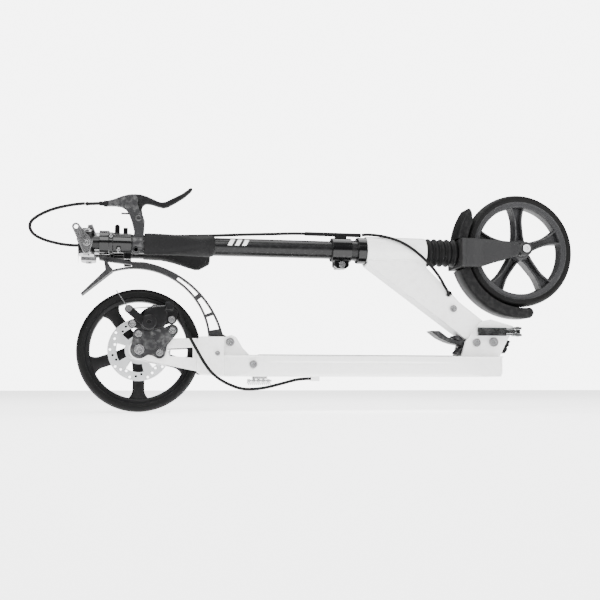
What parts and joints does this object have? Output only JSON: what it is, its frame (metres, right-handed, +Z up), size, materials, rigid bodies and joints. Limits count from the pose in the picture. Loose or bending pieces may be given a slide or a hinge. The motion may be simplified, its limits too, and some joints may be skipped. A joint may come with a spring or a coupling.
{
  "type": "kick scooter",
  "caption": "Folding kick scooter with large wheels, sprung front fork, cable disc brake, telescopic stem and fold-back handlebars, shown folded.",
  "frame": {"origin": "on the floor under the middle of the folded scooter's length and width, level with the lowest point of the rear tyre", "axes": "+X from the rear wheel towards the front wheel, +Y to the scooter's left, +Z up; folded pose"},
  "size_m": [0.9384, 0.1444, 0.381],
  "materials": {
    "frame_white": "glossy warm white powder coat",
    "lip_white": "satin white powder coat on the aluminium deck",
    "grip_tape": "coarse anti-slip grit",
    "stem_black": "satin black anodised tube",
    "gloss_black": "gloss black",
    "fork_grey": "dark grey moulded plastic with a satin sheen",
    "fender_grey": "dark grey moulded plastic",
    "fender_black": "black moulded plastic",
    "lever_grey": "dark grey painted alloy",
    "rubber_black": "soft black rubber",
    "grip_rubber": "dark charcoal moulded rubber",
    "tyre": "smooth polyurethane tread",
    "rim_black": "black moulded rim",
    "rim_grey": "dark grey satin rim",
    "steel": "zinc-plated steel",
    "rotor_steel": "brushed stainless disc",
    "chrome": "polished",
    "badge_white": "plain white print"
  },
  "bodies": {
    "deck_frame": {"deck": "lip_white", "grip_tape": "grip_tape", "front_cap": "frame_white", "rear_block": "frame_white", "right_fork_arm": "frame_white", "left_fork_arm": "frame_white", "rear_axle": "steel", "frame_bolts": "steel", "hinge_bracket": "frame_white", "bumper": "rubber_black", "latch_clevis": "chrome", "caliper_bracket": "lever_grey", "caliper_body": "stem_black", "rear_cable": "rubber_black", "kickstand_bracket": "steel"},
    "neck": {"neck_frame": "frame_white", "head_tube": "frame_white", "headset_cups": "gloss_black", "neck_bolt": "steel", "neck_cable": "rubber_black"},
    "steerer": {"lower_stem": "stem_black", "clamp_collar": "gloss_black", "clamp_bolt": "steel", "bellows": "rubber_black", "cable_sleeve": "rubber_black"},
    "clamp_lever": {"clamp_lever": "stem_black"},
    "stem": {"upper_stem": "stem_black", "t_head": "steel", "stem_badge": "badge_white", "stem_cable": "rubber_black"},
    "right_handlebar": {"right_bar": "stem_black", "right_lock": "steel", "right_sleeve": "gloss_black", "right_grip": "grip_rubber", "lever_housing": "lever_grey", "cable_adjuster": "rubber_black"},
    "left_handlebar": {"left_bar": "stem_black", "left_lock": "steel", "left_sleeve": "gloss_black", "left_grip": "grip_rubber"},
    "brake_lever": {"brake_lever": "stem_black"},
    "caliper_arm": {"caliper_arm": "stem_black", "inner_wire": "steel"},
    "fold_latch": {"fold_latch": "chrome"},
    "release_lever": {"release_lever": "lever_grey"},
    "kickstand": {"kickstand": "stem_black"},
    "rear_mudguard": {"rear_fender": "fender_grey", "mudflap": "fender_grey"},
    "fork": {"fork_crown": "fork_grey", "right_fork_leg": "fork_grey", "left_fork_leg": "fork_grey", "front_fender": "fender_black", "front_axle": "chrome"},
    "front_wheel": {"front_tyre": "tyre", "front_rim": "rim_grey", "front_bearings": "steel"},
    "rear_wheel": {"rear_tyre": "tyre", "rear_rim": "rim_black", "rotor": "rotor_steel", "rear_bearings": "steel"}
  },
  "joints": [
    {"name": "fold", "type": "hinge", "parent": "deck_frame", "child": "neck", "pos_m": [0.31, 0, 0.1175], "axis": [0, 1, 0], "range_deg": [0, 75.7]},
    {"name": "steer", "type": "hinge", "parent": "neck", "child": "steerer", "pos_m": [0.088, 0, 0.274], "axis": [1, 0, 0], "range_deg": [-16, 16]},
    {"name": "fork_travel", "type": "slide", "parent": "steerer", "child": "fork", "axis": [-1, 0, 0], "range_m": [0, 0.012], "stiffness_N_per_m": 9000, "deforming": ["bellows"]},
    {"name": "front_wheel_spin", "type": "hinge", "parent": "fork", "child": "front_wheel", "pos_m": [0.369, 0, 0.281], "axis": [0, 1, 0], "continuous": true},
    {"name": "rear_wheel_spin", "type": "hinge", "parent": "deck_frame", "child": "rear_wheel", "pos_m": [-0.293, 0, 0.1], "axis": [0, 1, 0], "continuous": true},
    {"name": "stem_height", "type": "slide", "parent": "steerer", "child": "stem", "axis": [-1, 0, 0], "range_m": [0, 0.09]},
    {"name": "clamp_lever_swing", "type": "hinge", "parent": "steerer", "child": "clamp_lever", "pos_m": [0.045, 0.015, 0.248], "axis": [-1, 0, 0], "range_deg": [0, 88]},
    {"name": "right_bar_fold", "type": "hinge", "parent": "stem", "child": "right_handlebar", "pos_m": [-0.378, -0.047, 0.268], "axis": [0, 0, -1], "range_deg": [0, 90]},
    {"name": "left_bar_fold", "type": "hinge", "parent": "stem", "child": "left_handlebar", "pos_m": [-0.378, 0.047, 0.268], "axis": [0, 0, 1], "range_deg": [0, 90]},
    {"name": "brake_lever_pull", "type": "hinge", "parent": "right_handlebar", "child": "brake_lever", "pos_m": [-0.298, -0.052, 0.308], "axis": [0, 1, 0], "range_deg": [0, 20], "stiffness_Nm_per_rad": 0.5, "springref_deg": -5.73},
    {"name": "caliper_arm_pull", "type": "hinge", "parent": "deck_frame", "child": "caliper_arm", "pos_m": [-0.2787, -0.054, 0.1427], "axis": [0, 1, 0], "range_deg": [0, 16], "stiffness_Nm_per_rad": 0.2, "springref_deg": -5.73, "deforming": ["inner_wire"]},
    {"name": "fold_latch_swing", "type": "hinge", "parent": "deck_frame", "child": "fold_latch", "pos_m": [0.352, -0.032, 0.135], "axis": [0, 0, 1], "range_deg": [0, 110]},
    {"name": "release_press", "type": "hinge", "parent": "deck_frame", "child": "release_lever", "pos_m": [0.279, 0, 0.1164], "axis": [0, -1, 0], "range_deg": [0, 8], "stiffness_Nm_per_rad": 1, "springref_deg": -8.59},
    {"name": "kickstand_swing", "type": "hinge", "parent": "deck_frame", "child": "kickstand", "pos_m": [-0.088, 0.062, 0.062], "axis": [0, -1, 0], "range_deg": [0, 100]},
    {"name": "mudguard_press", "type": "hinge", "parent": "deck_frame", "child": "rear_mudguard", "pos_m": [-0.148, 0, 0.1134], "axis": [0, -1, 0], "range_deg": [0, 3.5], "stiffness_Nm_per_rad": 8, "springref_deg": -4.58}
  ],
  "couplings": [
    {"joint": "caliper_arm_pull", "follows": "brake_lever_pull", "ratio": 0.8}
  ]
}
